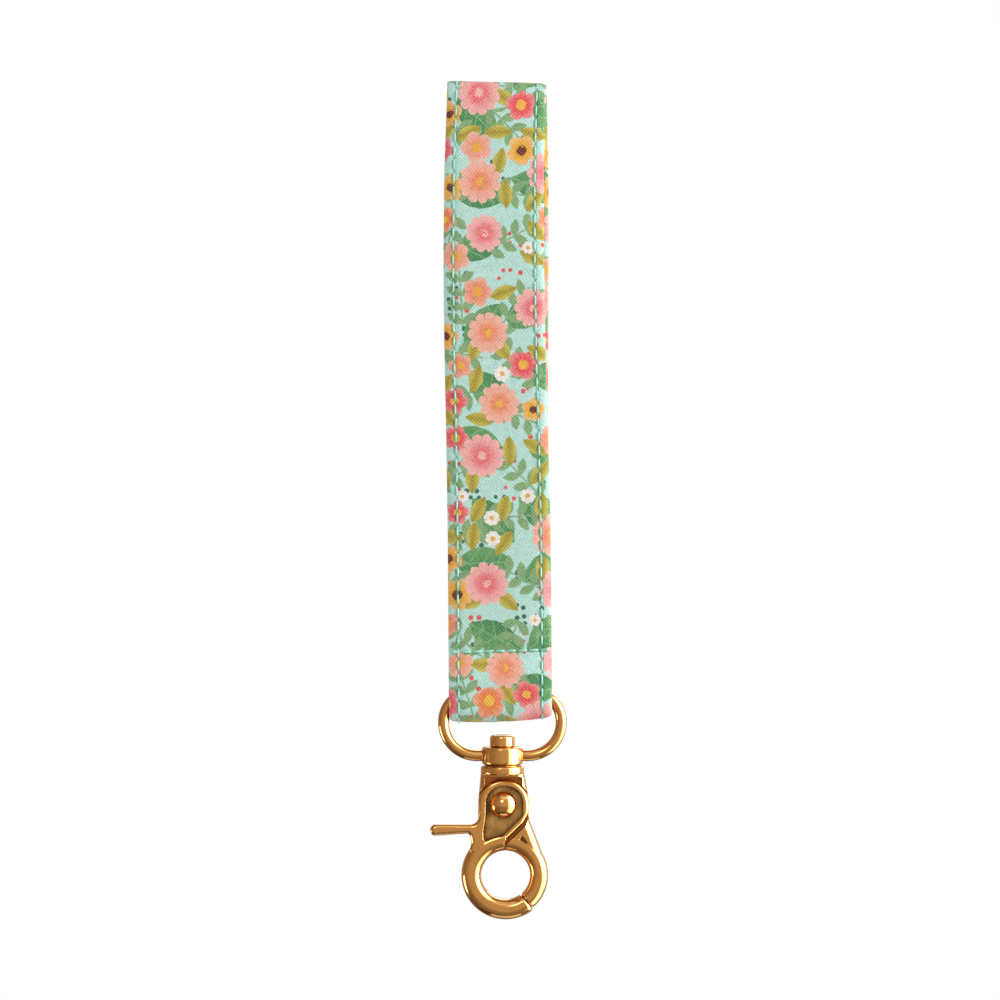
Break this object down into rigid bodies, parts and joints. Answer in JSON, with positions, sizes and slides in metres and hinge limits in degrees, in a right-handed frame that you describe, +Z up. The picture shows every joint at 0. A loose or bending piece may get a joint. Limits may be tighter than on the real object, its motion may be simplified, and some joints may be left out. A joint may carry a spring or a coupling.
{
  "type": "wristlet keychain",
  "caption": "Fabric wrist strap folded into a hand loop, with an oval swivel eye and a trigger snap hook for keys.",
  "frame": {"origin": "inside of the strap's top bend, on the strap's middle, where the loop hangs on a wrist or peg", "axes": "+Z up towards the top bend, the strap and the hook hang down along -Z, +X across the strap, the front face looks along -Y"},
  "size_m": [0.0333, 0.012, 0.2042],
  "materials": {
    "printed_fabric": "printed plain weave",
    "webbing": "plain weave",
    "gold_plated_casting": "polished light gold plating",
    "gold_plated_pin": "polished light gold plating",
    "spring_steel": "drawn wire"
  },
  "bodies": {
    "strap": {"strap_cover": "printed_fabric", "strap_webbing": "webbing"},
    "eye": {"swivel_d_ring": "gold_plated_casting"},
    "hook": {"hook_body": "gold_plated_casting", "swivel_pin": "gold_plated_pin", "pivot_rivet": "gold_plated_pin", "return_spring": "spring_steel"},
    "gate": {"trigger_gate": "gold_plated_casting"}
  },
  "joints": [
    {"name": "eye_swing", "type": "hinge", "parent": "strap", "child": "eye", "pos_m": [0, 0, -0.1482], "axis": [1, 0, 0], "range_deg": [-135, 135]},
    {"name": "hook_swivel", "type": "hinge", "parent": "eye", "child": "hook", "pos_m": [0, 0, -0.1623], "axis": [0, 0, 1], "continuous": true},
    {"name": "trigger_swing", "type": "hinge", "parent": "hook", "child": "gate", "pos_m": [0.0003, 0, -0.17415], "axis": [0, 1, 0], "range_deg": [0, 25], "stiffness_Nm_per_rad": 0.08, "springref_deg": -20.05}
  ]
}
